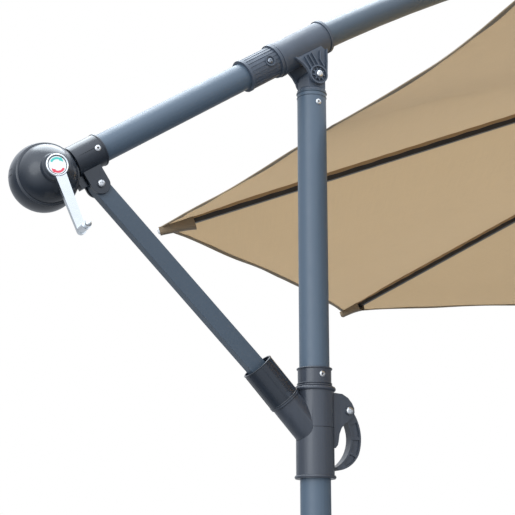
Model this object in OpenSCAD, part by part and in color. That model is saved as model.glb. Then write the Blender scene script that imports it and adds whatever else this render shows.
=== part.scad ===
// Cantilever parasol. A boom tilts on a mast, held by a brace on a sliding clamp,
// and a crank in its tail lifts the ribs of an eight-rib canopy by a cord.
// The origin is on the ground under the mast's axis: +Z up, +X towards the canopy.

/* [Mast] */
// Height of the tilt hinge above the ground
pivot_z = 2143; // [2000:1:2300]
// Outer diameter of the mast tube
mast_d = 48; // [47:1:49]
// Wall of the mast and boom tubes
tube_wall = 2; // [1.5:0.5:2.5]

/* [Boom] */
// Outer diameter of the boom tube
boom_d = 44; // [43:1:44]
// Slope of the straight boom tail in degrees
boom_slope = 33.5; // [31:0.5:35]
// Radius of the boom's long arc
boom_arc_r = 3400; // [3200:50:3600]
// Distance from the tilt hinge to the boom's axis
boom_rise = 56; // [55:1:58]
// Distance of the crank housing behind the hinge, along the boom
crank_back = 503; // [490:1:520]
// Diameter of the ball-shaped crank housing
housing_d = 105; // [104:1:108]

/* [Brace] */
// Brace bolt's place behind the tilt hinge
brace_back = 366; // [360:1:372]
// Brace bolt's depth under the tilt hinge
brace_drop = 233; // [228:1:238]
// Length of the brace between its bolts
brace_len = 430; // [425:1:435]
// Slope of the brace in degrees
brace_slope = 44.4; // [44:0.1:45]
// Height of the brace bar's section
brace_h = 28; // [26:1:28]
// Width of the brace bar's section
brace_w = 18; // [16:1:18]

/* [Canopy] */
// Radius of the open canopy over its rib tips
canopy_r = 1767; // [1500:1:1800]
// Fall of the open ribs from the crown in degrees
rib_slope = 14; // [13:0.5:15]
// Nose-up lean of the canopy in degrees
canopy_lean = 5; // [4:0.5:6]
// Width of a rib
rib_w = 12; // [10:1:12]
// Height of a rib
rib_h = 12; // [11:1:14]
// Share of the rib's length at which its stretcher joins
stretcher_share = 0.49; // [0.45:0.01:0.5]
// Depth of the curve between two rib tips
scallop = 48; // [30:1:70]
// Hang of the cloth's edge halfway between two rib tips
edge_sag = 22; // [0:1:30]

/* [Base] */
// Length of each crossing base beam
beam_len = 1000; // [900:10:1100]
// Side of a square ballast slab
slab_side = 440; // [400:10:450]
// Thickness of a ballast slab
slab_t = 50; // [40:5:60]

/* [Hidden] */
RIBS = 8;
$fn = 64;

frame_grey = [0.30, 0.34, 0.38];
shell_grey = [0.20, 0.23, 0.27];
rib_black = [0.11, 0.12, 0.13];
bright = [0.80, 0.82, 0.84];
sand = [0.68, 0.60, 0.47];
stone = [0.62, 0.61, 0.58];

fit = 0.05;                 // running fit of a pin in its bore
slack = 0.3;                // gap between neighbours that slide past each other
mast_r = mast_d / 2;
boom_r = boom_d / 2;
tee_back = 44.5;            // T sleeve's tail end, behind the hinge
tee_front = 62.6;           // T sleeve's nose end, past the hinge
collar_back = 113.5;        // fluted collar's tail end
sleeve_front = 402;         // housing sleeve's nose end
housing_r = housing_d / 2;
housing_wall = 3;
seam_y = -20;               // plane where the housing's two shells meet

// Boom arc, from its straight tail to just past the canopy's hub.
hub_boom_slope = canopy_lean - 1;
arc_deg = boom_slope - hub_boom_slope;
nose_deg = 0.85;
arc_centre_x = -tee_back * cos(boom_slope) + (boom_arc_r - boom_rise) * sin(boom_slope);
arc_centre_z = pivot_z - tee_back * sin(boom_slope) - (boom_arc_r - boom_rise) * cos(boom_slope);
hub_drop = 95;              // from the boom's axis down to the canopy's apex
apex_x = arc_centre_x - boom_arc_r * sin(hub_boom_slope) + hub_drop * sin(canopy_lean);
apex_z = arc_centre_z + boom_arc_r * cos(hub_boom_slope) - hub_drop * cos(canopy_lean);

// Canopy linkage: rib and stretcher are mirror images about a level line, so they fold together.
hinge_r = 45;               // radius of the rib and stretcher hinge circles
hinge_z = -hinge_r * tan(rib_slope);
rib_len = (canopy_r - hinge_r) / cos(rib_slope);
lug_drop = 20;              // stretcher joint's depth under the rib's axis
lug_at = rib_len * stretcher_share;
link_len = sqrt(lug_at * lug_at + lug_drop * lug_drop);
link_deg = rib_slope + atan(lug_drop / lug_at);
runner_z = hinge_z - 2 * link_len * sin(link_deg);
link_h = 14;
link_w = 10;
hub_r = 56;
cloth_t = 1;
cloth_in = 62;              // radius where the cloth starts
cloth_lift = rib_h / 2 + 6;
half_step = 180 / RIBS;

// Brace
strut_x = -brace_back + brace_len * cos(brace_slope);
strut_z = pivot_z - brace_drop - brace_len * sin(brace_slope);
cup_slope = brace_slope + 2.5;
cup_r = 25.5;
cup_len = 60;
strut_bolt_r = 4;
strut_play = 2.2;           // clearance of the brace's lower hole on its bolt

// Slider, stop collar and release lever
slider_top = 1625.5;
slider_seam = 1562;
slider_low = 1483;
slider_r = 30;
stop_low = 1626;
stop_top = 1656;
lever_x = 6.4;              // centre of the lever's curve
lever_z = 1548;
lever_in = 53;
lever_out = 71;
lever_bolt_x = 53;
lever_bolt_z = 1590;
lever_bolt_r = 4;
ear_in = 9;
ear_out = 14;
shoe_z = 1592;

// Crank
crank_deg = 23.5;           // the crank arm's lean from straight down
crank_len = 101;
shaft_r = 5;
dial_r = 16.5;
head_r = 15;                // rounded top of the mast head
tilt_bolt_r = 5;
ear_gap = 21;               // half of the space between the T bracket's ears

module tube(h, r_out, r_in) {
    difference() {
        cylinder(h = h, r = r_out);
        translate([0, 0, -1]) cylinder(h = h + 2, r = r_in);
    }
}

// The tilt hinge's frame: X along the boom's tail, Z square to it.
module in_boom() {
    translate([0, 0, pivot_z]) rotate([0, -boom_slope, 0]) children();
}

module along_boom(from, to) {
    translate([from, 0, boom_rise]) rotate([0, 90, 0]) children();
}

// A ring swept along the boom's arc; from and to are lengths along it past the T sleeve's tail end.
module arc_tube(from, to, r_out, r_in) {
    a0 = from / boom_arc_r * 180 / PI;
    a1 = to / boom_arc_r * 180 / PI;
    translate([-tee_back, 0, boom_rise - boom_arc_r]) rotate([90, 0, 0])
        rotate([0, 0, 90 - a1]) rotate_extrude(angle = a1 - a0, $fn = 256)
            translate([boom_arc_r, 0]) difference() {
                circle(r = r_out, $fn = 48);
                if (r_in > 0) circle(r = r_in, $fn = 48);
            }
}

// The crank housing's frame: origin at the ball's centre, axes level.
module at_crank() {
    in_boom() translate([-crank_back, 0, boom_rise]) rotate([0, boom_slope, 0]) children();
}

// The canopy's frame: Z along its axis, origin at the apex of the rib cone.
module at_hub() {
    translate([apex_x, 0, apex_z]) rotate([0, -canopy_lean, 0]) children();
}

module at_rib(i) {
    at_hub() rotate([0, 0, half_step * (2 * i - 1)]) children();
}

// A cylinder along Y from y0 to y1.
module pin_y(y0, y1, r) {
    translate([0, y0, 0]) rotate([-90, 0, 0]) cylinder(h = y1 - y0, r = r);
}

// A flat bar of width w between two points of a sketch, running past each by half its width.
module bar(p, q, w) {
    d = q - p;
    translate(p) rotate(atan2(d[1], d[0])) translate([-w / 2, -w / 2]) square([norm(d) + w, w]);
}

// A flat disc with straight facets.
module facet_disc(r) {
    polygon([for (a = [0:7.5:352.5]) r * [cos(a), sin(a)]]);
}

module path_bars(points, w) {
    for (k = [0:len(points) - 2]) bar(points[k], points[k + 1], w);
}

// A sketch drawn in X and Z, raised along Y from y0 to y1.
module raise_y(y0, y1) {
    translate([0, y1, 0]) rotate([90, 0, 0]) linear_extrude(height = y1 - y0) children();
}

// ---- base ----

beam_w = 60;
beam_h = 40;
flange_w = 130;
flange_t = 5;
socket_r = mast_r + 4;

module beam_section() {
    translate([-flange_w / 2, 0]) square([flange_w, flange_t]);
    translate([-beam_w / 2, 0]) square([beam_w, beam_h]);
}

module cross_beams() {
    color(frame_grey) difference() {
        union() {
            for (a = [0, 90]) rotate([0, 0, a]) translate([-beam_len / 2, 0, 0])
                rotate([90, 0, 90]) linear_extrude(height = beam_len) beam_section();
        }
        for (x = [-55, 55], y = [-18, 18])
            translate([x, y, -1]) cylinder(h = beam_h + 2, r = 4.3);
    }
}

module beam_end_caps() {
    color(shell_grey) for (a = [0:90:270]) rotate([0, 0, a])
        translate([beam_len / 2, -beam_w / 2 - 2, 0]) cube([8, beam_w + 4, beam_h + 2]);
}

module ballast_slabs() {
    inner = beam_w / 2 + 6;
    color(stone) for (sx = [0, 1], sy = [0, 1]) mirror([sx, 0, 0]) mirror([0, sy, 0])
        translate([inner, inner, flange_t]) cube([slab_side, slab_side, slab_t]);
}

module mast_socket() {
    color(frame_grey) translate([0, 0, beam_h]) difference() {
        union() {
            translate([-80, -30, 0]) cube([160, 60, 8]);
            cylinder(h = 260, r = socket_r);
            for (a = [0, 180]) rotate([0, 0, a]) raise_y(-3, 3)
                polygon([[socket_r - 2, 4], [75, 4], [75, 14], [socket_r - 2, 150]]);
        }
        translate([0, 0, 8]) cylinder(h = 260, r = mast_r + 0.1);
        for (x = [-55, 55], y = [-18, 18])
            translate([x, y, -1]) cylinder(h = 10, r = 4.3);
        translate([0, 0, 210]) pin_y(-socket_r - 1, socket_r + 1, 4.2);
    }
}

module base_bolts() {
    color(bright) for (x = [-55, 55], y = [-18, 18]) translate([x, y, 0]) {
        translate([0, 0, beam_h - 30]) cylinder(h = 38, r = 4);
        translate([0, 0, beam_h + 8]) cylinder(h = 5.5, r = 7, $fn = 6);
    }
    color(bright) translate([0, 0, beam_h + 210]) {
        pin_y(-socket_r - 0.1, socket_r + 0.1, 4);
        for (s = [0, 1]) mirror([0, s, 0]) pin_y(socket_r + 0.1, socket_r + 5, 7);
    }
}

// ---- mast ----

mast_foot = beam_h + 8.2;
mast_top = pivot_z - 25;
mast_rivet_z = mast_top - 22;
stop_rivet_z = stop_top - 12;

module mast_tube() {
    color(frame_grey) difference() {
        translate([0, 0, mast_foot]) tube(mast_top - mast_foot, mast_r, mast_r - tube_wall);
        translate([0, 0, beam_h + 210]) pin_y(-mast_r - 1, mast_r + 1, 4.2);
        for (z = [mast_rivet_z, stop_rivet_z]) translate([0, 0, z]) pin_y(-mast_r - 1, 0, 2.6);
    }
}

module mast_head() {
    plug_r = mast_r - tube_wall - 0.1;
    color(shell_grey) difference() {
        union() {
            translate([0, 0, mast_top - 60]) cylinder(h = 60.2, r = plug_r);
            translate([0, 0, mast_top + 0.1]) cylinder(h = 3, r = mast_r);
            translate([0, 0, mast_top + 3.1]) cylinder(h = 3, r1 = mast_r, r2 = mast_r - 3);
            translate([0, 0, pivot_z]) pin_y(slack - ear_gap, ear_gap - slack, head_r);
            translate([-head_r, slack - ear_gap, mast_top + 3])
                cube([2 * head_r, 2 * (ear_gap - slack), pivot_z - mast_top - 3]);
        }
        translate([0, 0, pivot_z]) pin_y(-ear_gap - 1, ear_gap + 1, tilt_bolt_r + fit);
        translate([0, 0, mast_rivet_z]) pin_y(-mast_r - 1, 0, 2.6);
        translate([0, 0, mast_top - 61]) cylinder(h = 50, r = plug_r - 3);
    }
}

module stop_collar() {
    inner = mast_r + 0.1;
    color(shell_grey) difference() {
        union() {
            translate([0, 0, stop_low]) tube(stop_top - stop_low, mast_r + 2.6, inner);
            translate([0, 0, stop_top - 2.5]) tube(2.5, mast_r + 3.6, inner);
            translate([0, 0, stop_low]) tube(2, mast_r + 4, inner);
            translate([0, 0, stop_low + 4]) tube(1.6, mast_r + 3.4, inner);
        }
        translate([0, 0, stop_rivet_z]) pin_y(-mast_r - 5, 0, 2.6);
    }
}

module pop_rivet(surface_y, grip) {
    difference() {
        union() {
            pin_y(surface_y, surface_y + grip, 2.4);
            pin_y(surface_y - 1.4, surface_y - 0.2, 4.6);
            pin_y(surface_y - 0.4, surface_y + 0.1, 2.4);
        }
        pin_y(surface_y - 2, surface_y + 0.5, 1.4);
    }
}

module mast_rivets() {
    color(bright) {
        translate([0, 0, mast_rivet_z]) pop_rivet(-mast_r - 0.2, 6);
        translate([0, 0, stop_rivet_z]) pop_rivet(-mast_r - 2.8, 5);
    }
}

module pivot_bolt() {
    color(bright) translate([0, 0, pivot_z]) {
        pin_y(-29.5, 29.5, tilt_bolt_r);
        for (s = [0, 1]) mirror([0, s, 0]) {
            pin_y(24.2, 27, 5.4);
            pin_y(27, 30, 5.6);
        }
    }
}

// ---- slider, cup and release lever ----

// The branch's frame: origin at the brace's lower bolt, Z out of the cup's mouth.
module at_cup() {
    translate([strut_x, 0, strut_z]) rotate([0, -90 + cup_slope, 0]) children();
}

cup_seam = -7;              // where the cup meets the slider's branch

// Ear outline round the lever's bolt, in X and Z: out from the slider, round the bolt and back.
ear_outline = [
    [23, 1618], [23, 1531], [29, 1531], [33, 1536], [34.5, 1543], [36, 1553], [39.5, 1562],
    [45, 1569], [53.5, 1575.5], [60.5, 1581.5], [63.4, 1588], [63, 1595], [59, 1603],
    [52, 1611], [42, 1616.5]];

module slider_body() {
    color(shell_grey) difference() {
        union() {
            translate([0, 0, slider_seam]) cylinder(h = slider_top - slider_seam, r = slider_r);
            translate([0, 0, slider_top - 6]) cylinder(h = 6, r = slider_r + 2);
            at_cup() translate([0, 0, cup_seam - 74]) cylinder(h = 74, r = cup_r - 1);
            at_cup() translate([0, 0, cup_seam - 3]) cylinder(h = 3, r = cup_r + 0.6);
            for (s = [0, 1]) mirror([0, s, 0]) raise_y(ear_in, ear_out) polygon(ear_outline);
        }
        translate([0, 0, slider_low - 20]) cylinder(h = 200, r = mast_r + slack);
        at_cup() translate([0, 0, -26]) cylinder(h = 30, r = cup_r - 2.5);
        translate([lever_bolt_x, 0, lever_bolt_z])
            pin_y(-ear_out - 1, ear_out + 1, lever_bolt_r + fit);
        translate([mast_r - 2, -6.5, shoe_z - 12.5]) cube([12, 13, 25]);
    }
}

module slider_skirt() {
    facets = 24;
    low_z = slider_low + 6;
    color(shell_grey) difference() {
        union() {
            translate([0, 0, low_z]) linear_extrude(height = slider_seam - low_z - 0.6)
                circle(r = slider_r, $fn = facets);
            translate([0, 0, slider_low]) cylinder(h = 5, r = slider_r + 1.5);
            translate([0, 0, slider_low + 5]) cylinder(h = 2, r = slider_r);
        }
        translate([0, 0, slider_low - 1]) cylinder(h = 200, r = mast_r + slack);
        at_cup() translate([0, 0, cup_seam - 76]) cylinder(h = 100, r = cup_r - 0.4);
        for (s = [0, 1]) mirror([0, s, 0]) translate([20, ear_in - 0.3, 1528])
            cube([40, ear_out - ear_in + 0.6, 60]);
    }
}

module branch_cup() {
    color(shell_grey) at_cup() difference() {
        union() {
            translate([0, 0, cup_seam + 0.3]) cylinder(h = cup_len - cup_seam - 0.3, r = cup_r);
            for (k = [0:11]) rotate([0, 0, 30 * k + 15]) translate([cup_r - 0.6, -0.5, cup_seam + 3])
                cube([1.1, 1, cup_len - cup_seam - 6]);
        }
        translate([0, 0, cup_seam - 1]) cylinder(h = cup_len + 20, r = cup_r - 2.2);
        pin_y(-cup_r - 2, cup_r + 2, strut_bolt_r + 0.1);
    }
}

module strut_pin() {
    color(bright) translate([strut_x, 0, strut_z]) pin_y(-cup_r + 0.4, cup_r - 0.4, strut_bolt_r);
}

// A curved strip between two radii, from one angle to another, that thins towards its low end.
module lever_curve(r_in, r_out, from, to, step) {
    function thin(a) = 12 * pow(max(0, (-20 - a) / 40), 1.5);
    polygon(concat(
        [for (a = [from:step:to]) (r_out - thin(a)) * [cos(a), sin(a)]],
        [for (a = [to:-step:from]) r_in * [cos(a), sin(a)]]));
}

module release_lever() {
    thick = 2 * (ear_in - 0.6);
    color(shell_grey) difference() {
        union() {
            translate([lever_x, 0, lever_z]) raise_y(-thick / 2, thick / 2)
                lever_curve(lever_in, lever_out, -60, 46, 2);
            translate([lever_bolt_x, 0, lever_bolt_z]) pin_y(-thick / 2, thick / 2, 10.5);
        }
        translate([lever_bolt_x, 0, lever_bolt_z]) pin_y(-20, 20, lever_bolt_r + fit);
        for (s = [0, 1]) mirror([0, s, 0]) translate([lever_x, 0, lever_z])
            for (a = [-46, -22, 2]) raise_y(thick / 2 - 2.5, thick / 2 + 1)
                lever_curve(lever_in + 3, lever_out - 3, a, a + 20, 4);
    }
}

module lever_bolt() {
    color(bright) translate([lever_bolt_x, 0, lever_bolt_z]) {
        pin_y(-ear_out - 0.2, ear_out + 0.2, lever_bolt_r);
        for (s = [0, 1]) mirror([0, s, 0]) pin_y(ear_out + 0.2, ear_out + 3.2, 5.6);
    }
}

// The shoe that the lever presses on the mast, and the spring round its stem.
module clamp_shoe() {
    color(rib_black) difference() {
        union() {
            translate([mast_r - 1, -6, shoe_z - 12]) cube([6.5, 12, 24]);
            translate([mast_r + 5, 0, shoe_z]) rotate([0, 90, 0]) cylinder(h = 11.5, r = 2.2);
        }
        cylinder(h = 3000, r = mast_r + slack);
    }
}

module clamp_spring() {
    color(bright) translate([mast_r + 5.9, 0, shoe_z]) rotate([0, 90, 0]) tube(5.2, 4.5, 3);
}

// ---- boom ----

module boom_tube() {
    color(frame_grey) difference() {
        in_boom() union() {
            along_boom(-crank_back + 50, 0) tube(crank_back - 50 - tee_back, boom_r, boom_r - tube_wall);
            arc_tube(0, (arc_deg + nose_deg) * PI / 180 * boom_arc_r, boom_r, boom_r - tube_wall);
        }
        at_hub() translate([0, 0, hub_drop - boom_r - 8]) cylinder(h = 16, r = 7);
        in_boom() translate([-sleeve_front - 12, 0, boom_rise]) pin_y(-boom_r - 1, 0, 2.6);
    }
}

ear_left = [[-22.3, 40.5], [-16, 29.7], [-13.4, 19.2], [-13.6, 8.8]];
ear_right = [[38.2, 30], [27, 13], [15, -4]];
ear_pocket = [[25, 33], [17.6, 21.9], [17, 7.8]];

module tee_ear() {
    difference() {
        union() {
            raise_y(ear_gap, ear_gap + 3) {
                polygon(concat(ear_left, [[0, 0], [15, -4], [27, 13], [38.2, 30], [34, 40]]));
                facet_disc(15.4);
            }
            raise_y(ear_gap + 2, ear_gap + 7) {
                path_bars(ear_left, 2.4);
                path_bars(ear_right, 2.4);
                path_bars(ear_pocket, 2);
                for (s = [-6.3, 1.8, 9.2]) bar([s, 14], [s, 36], 1.8);
                difference() {
                    facet_disc(16.2);
                    facet_disc(13.6);
                }
                facet_disc(7.8);
                for (a = [0:40:320]) rotate(a) translate([7, -0.8]) square([4.2, 1.6]);
            }
        }
        pin_y(ear_gap - 1, ear_gap + 10, tilt_bolt_r + fit);
        pin_y(ear_gap + 3, ear_gap + 10, 5.7);
    }
}

module tee_bracket() {
    length = tee_back + tee_front;
    sag = length * length / boom_arc_r / 2;
    color(shell_grey) in_boom() difference() {
        union() {
            translate([0, 0, -sag / 2]) along_boom(-tee_back, 0) {
                cylinder(h = length, r = 27.5);
                cylinder(h = 6, r = 29.2);
                translate([0, 0, length - 5]) cylinder(h = 5, r = 29.2);
            }
            for (s = [0, 1]) mirror([0, s, 0]) tee_ear();
        }
        translate([0, 0, -sag / 2]) along_boom(-tee_back - 1, 0)
            cylinder(h = length + 2, r = boom_r + sag / 2 + 0.2);
    }
}

module fluted_collar() {
    bore = boom_r + 0.1;
    length = collar_back - tee_back - 0.5;
    color(shell_grey) in_boom() along_boom(-collar_back, 0) difference() {
        union() {
            cylinder(h = length, r = 25);
            cylinder(h = 5, r = 27);
            translate([0, 0, length - 6]) cylinder(h = 6, r = 28.6);
            for (k = [0:23]) rotate([0, 0, 15 * k]) translate([24.5, -2.3, 2])
                cube([1.3, 4.6, length - 5]);
            translate([0, 0, length - 24]) rotate([90, 0, 0]) cylinder(h = 27.4, r = 9);
        }
        translate([0, 0, -1]) cylinder(h = length + 2, r = bore);
        translate([0, -25.4, length - 24]) rotate([90, 0, 0]) cylinder(h = 4, r = 7);
        translate([0, 0, length - 24]) rotate([90, 0, 0]) cylinder(h = 40, r = 2.6);
    }
}

module collar_button() {
    color(bright) in_boom() translate([-tee_back - 24.5, 0, boom_rise]) {
        pin_y(-25.6, -22.2, 2.4);
        difference() {
            translate([0, -25.6, 0]) sphere(r = 3.8);
            translate([0, -15.5, 0]) cube([20, 20, 20], center = true);
        }
    }
}

module housing_sleeve() {
    bore = boom_r + 0.1;
    back = crank_back - 49;
    color(frame_grey) in_boom() difference() {
        union() {
            along_boom(-back, 0) cylinder(h = back - sleeve_front, r = 25.5);
            along_boom(-sleeve_front - 2.5, 0) cylinder(h = 2.5, r = 26.4);
            for (s = [0, 1]) mirror([0, s, 0]) rotate([0, boom_slope, 0])
                translate([-brace_back, 0, -brace_drop]) rotate([0, -boom_slope, 0])
                    raise_y(brace_w / 2 + 1, brace_w / 2 + 5) {
                        circle(r = 15.5);
                        translate([-15.5, 0]) square([31, 30]);
                    }
            translate([-crank_back + 41, -7, boom_rise - 42]) cube([11.5, 14, 22]);
        }
        along_boom(-back - 1, 0) cylinder(h = 60, r = bore);
        rotate([0, boom_slope, 0]) translate([-brace_back, 0, -brace_drop])
            pin_y(-30, 30, strut_bolt_r + 0.1);
        translate([-sleeve_front - 12, 0, boom_rise]) pin_y(-40, 0, 2.6);
    }
}

module ball_shell() {
    difference() {
        sphere(r = housing_r);
        sphere(r = housing_r - housing_wall);
        rotate([0, -boom_slope, 0]) rotate([0, 90, 0]) cylinder(h = 80, r = 26.2);
        rotate([0, -boom_slope, 0]) translate([37, -7.5, -47]) cube([30, 15, 40]);
    }
}

module housing_front() {
    color(shell_grey) at_crank() difference() {
        union() {
            intersection() {
                ball_shell();
                translate([-60, -60, -60]) cube([120, 60 + seam_y, 120]);
            }
            pin_y(-61, -46.5, 20);
        }
        pin_y(-70, -40, shaft_r + fit);
    }
}

module housing_rear() {
    rib_at = [for (k = [0:3]) k * 9 - 14];
    color(shell_grey) at_crank() difference() {
        union() {
            intersection() {
                ball_shell();
                translate([-60, seam_y + 0.4, -60]) cube([120, 120, 120]);
            }
            pin_y(38, 50, 9);
        }
        pin_y(20, 44, shaft_r + fit);
        for (z = rib_at) translate([-56, seam_y + 6, z]) cube([5, 30, 0.8]);
    }
}

module cord_drum() {
    color(bright) at_crank() {
        pin_y(-63.6, 43.5, shaft_r);
        pin_y(-16, 16, 18);
        pin_y(-19, -16, 30);
        pin_y(16, 19, 30);
    }
}

// The crank's frame: X along the arm, out from the shaft.
module at_arm() {
    at_crank() rotate([0, 90 - crank_deg, 0]) children();
}

module crank_arm() {
    color(bright) at_arm() difference() {
        union() {
            pin_y(-69, -61.3, dial_r);
            raise_y(-69, -61.3)
                polygon([[0, -8.8], [crank_len, -6.5], [crank_len, 6.5], [0, 8.8]]);
            translate([crank_len, 0, 0]) pin_y(-69, -61.3, 6.5);
        }
        pin_y(-70, -67.5, dial_r - 2);
        pin_y(-64, -60, shaft_r + 0.05);
        translate([crank_len - 2, 0, 0]) pin_y(-70, -60, 3 + fit);
    }
}

module crank_dial() {
    color([0.93, 0.94, 0.94]) at_arm() pin_y(-68.6, -67.6, dial_r - 2.2);
}

module crank_grip() {
    color(bright) at_arm() translate([crank_len - 2, 0, 0]) {
        pin_y(-69.3, -60.5, 3);
        pin_y(-92, -69.3, 6.5);
        pin_y(-96, -92, 4);
        translate([0, -99, 0]) sphere(r = 5);
        pin_y(-60.5, -59, 4.5);
    }
}

module clevis_bolt() {
    color(bright) translate([-brace_back, 0, pivot_z - brace_drop]) {
        pin_y(-brace_w / 2 - 5.2, brace_w / 2 + 5.2, strut_bolt_r);
        for (s = [0, 1]) mirror([0, s, 0]) pin_y(brace_w / 2 + 5.2, brace_w / 2 + 7.6, 5.6);
    }
}

module boom_rivets() {
    color(bright) in_boom() translate([-sleeve_front - 12, 0, boom_rise]) pop_rivet(-25.7, 4.5);
}

module brace_strut() {
    color(frame_grey) translate([-brace_back, 0, pivot_z - brace_drop])
        rotate([0, brace_slope, 0]) difference() {
            raise_y(-brace_w / 2, brace_w / 2) {
                circle(d = brace_h);
                translate([brace_len, 0]) circle(d = brace_h);
                translate([0, -brace_h / 2]) square([brace_len, brace_h]);
            }
            translate([-brace_h, -brace_w / 2 + 2, -brace_h / 2 + 2])
                cube([brace_len + 2 * brace_h, brace_w - 4, brace_h - 4]);
            pin_y(-brace_w, brace_w, strut_bolt_r + fit);
            translate([brace_len, 0, 0]) pin_y(-brace_w, brace_w, strut_bolt_r + strut_play);
        }
}

// ---- hub ----

cord_r = 2;
cord_bore = 5;
hub_top = hinge_z + 4;
hub_low = hinge_z - 16;

// Along the boom where it crosses the canopy's axis.
module along_sleeve(from) {
    translate([0, 0, hub_drop]) rotate([0, canopy_lean - hub_boom_slope, 0])
        translate([from, 0, 0]) rotate([0, 90, 0]) children();
}

module hub_bracket() {
    color(shell_grey) at_hub() difference() {
        union() {
            cylinder(h = 4, r = 84);
            translate([0, 0, 4]) cylinder(h = 8, r1 = 60, r2 = 24);
            translate([0, 0, hub_top + 0.1]) cylinder(h = hub_drop - hub_top, r = 18);
            along_sleeve(-45) cylinder(h = 104, r = 27);
        }
        along_sleeve(-60) cylinder(h = 112, r = boom_r + 0.8);
        translate([0, 0, hub_top - 1]) cylinder(h = hub_drop, r = cord_bore);
    }
}

// Eight slots round a hub, for the ends of ribs or stretchers.
module hub_slots(width, depth, low, high) {
    for (i = [1:RIBS]) rotate([0, 0, half_step * (2 * i - 1)])
        translate([hub_r - depth, -width / 2, low]) cube([depth + 10, width, high - low]);
}

module crown_hub() {
    color(shell_grey) at_hub() difference() {
        translate([0, 0, hub_low]) cylinder(h = hub_top - hub_low, r = hub_r);
        hub_slots(rib_w + 0.8, 23, hub_low - 1, hub_top + 1);
        translate([0, 0, hub_low - 1]) cylinder(h = 60, r = cord_bore);
    }
    color(bright) at_hub() for (i = [1:RIBS]) rotate([0, 0, half_step * (2 * i - 1)])
        translate([hinge_r, 0, hinge_z]) pin_y(-9.5, 9.5, 2.5);
}

module runner_hub() {
    pin_r = 2.5;
    color(shell_grey) at_hub() difference() {
        union() {
            translate([0, 0, runner_z - 14]) cylinder(h = 28, r = hub_r);
            translate([0, 0, runner_z - 34]) cylinder(h = 20, r1 = 14, r2 = 28);
        }
        hub_slots(link_w - 2 + 0.8, 24, runner_z - 40, runner_z + 20);
        for (i = [1:RIBS]) rotate([0, 0, half_step * (2 * i - 1)])
            translate([hinge_r - pin_r - 1, -9, runner_z - 40]) cube([2 * pin_r + 2, 18, 44]);
        translate([0, 0, runner_z + 2]) cylinder(h = 20, r = cord_bore);
    }
}

module lift_cord() {
    drop_top = hub_drop - 1;
    drum_gap = 20;
    color(sand) {
        in_boom() along_boom(-crank_back + drum_gap, 0)
            cylinder(h = crank_back - drum_gap - tee_back, r = cord_r);
        in_boom() arc_tube(0, arc_deg * PI / 180 * boom_arc_r, cord_r, 0);
        at_hub() {
            translate([0, 0, runner_z + 3]) cylinder(h = drop_top - runner_z - 3, r = cord_r);
            translate([0, 0, drop_top]) sphere(r = cord_r + 0.4);
        }
    }
}

// ---- ribs, stretchers and cloth ----

// A rib's frame: origin at its hinge, X down along the rib, Z up off its top.
module on_rib(i) {
    at_rib(i) translate([hinge_r, 0, hinge_z]) rotate([0, rib_slope, 0]) children();
}

module rib(i) {
    hinge_pin = 2.5;
    color(rib_black) on_rib(i) difference() {
        union() {
            translate([0, -rib_w / 2, -rib_h / 2]) cube([rib_len - 14, rib_w, rib_h]);
            pin_y(-rib_w / 2, rib_w / 2, rib_h / 2);
            translate([rib_len - 14, -rib_w / 2 - 1, -rib_h / 2]) cube([14, rib_w + 2, rib_h]);
            translate([lug_at, 0, -lug_drop]) pin_y(-2, 2, 7);
            translate([lug_at - 7, -2, -lug_drop]) cube([14, 4, lug_drop]);
        }
        pin_y(-rib_w, rib_w, hinge_pin + fit);
        translate([lug_at, 0, -lug_drop]) pin_y(-10, 10, hinge_pin + fit);
    }
}

module stretcher(i) {
    pin_r = 2.5;
    lug_slot = 4.8;
    tongue = link_w - 2;
    color(rib_black) on_rib(i) translate([lug_at, 0, -lug_drop])
        rotate([0, 180 - rib_slope - link_deg, 0]) {
            difference() {
                union() {
                    translate([0, -link_w / 2, -link_h / 2]) cube([link_len - 34, link_w, link_h]);
                    pin_y(-link_w / 2, link_w / 2, link_h / 2);
                    translate([link_len - 34, -tongue / 2, -link_h / 2]) cube([34, tongue, link_h]);
                    translate([link_len, 0, 0]) pin_y(-tongue / 2, tongue / 2, link_h / 2);
                }
                translate([-12, -lug_slot / 2, -15]) cube([34, lug_slot, 30]);
            }
            pin_y(-link_w / 2, link_w / 2, pin_r);
            translate([link_len, 0, 0]) pin_y(-8, 8, pin_r);
        }
}

// One rib's cloth, out to the middle of the gap on each side, in the rib's frame.
module canopy(i) {
    tip = (canopy_r - hinge_r) / cos(rib_slope) - 1;
    seam_gap = 0.4;
    fall = tan(rib_slope) / cos(half_step);
    // A point at radius r on the middle line between two ribs, hung down a little; side is 1 or -1.
    function between(r, side, hang = 0) = let (
            x = r * cos(half_step) - hinge_r,
            y = r * sin(half_step) - seam_gap,
            z = -r * fall - hinge_z - hang)
        [x * cos(rib_slope) - z * sin(rib_slope), side * y,
         x * sin(rib_slope) + z * cos(rib_slope) + cloth_lift];
    edge_r = canopy_r * cos(half_step) - scallop;
    low = [
        [(cloth_in - hinge_r) / cos(rib_slope), 0, cloth_lift], [tip, 0, cloth_lift],
        between(edge_r, 1, edge_sag), between(cloth_in, 1),
        between(edge_r, -1, edge_sag), between(cloth_in, -1)];
    high = [for (p = low) p + [0, 0, cloth_t]];
    outline = [3, 0, 5, 4, 1, 2];
    color(sand) on_rib(i) polyhedron(
        points = concat(low, high),
        faces = concat(
            [[0, 1, 2], [0, 2, 3], [0, 5, 4], [0, 4, 1]],
            [[8, 7, 6], [9, 8, 6], [10, 11, 6], [7, 10, 6]],
            [for (k = [0:5]) [outline[k], outline[k] + 6, outline[(k + 1) % 6] + 6]],
            [for (k = [0:5]) [outline[k], outline[(k + 1) % 6] + 6, outline[(k + 1) % 6]]]));
}

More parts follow.
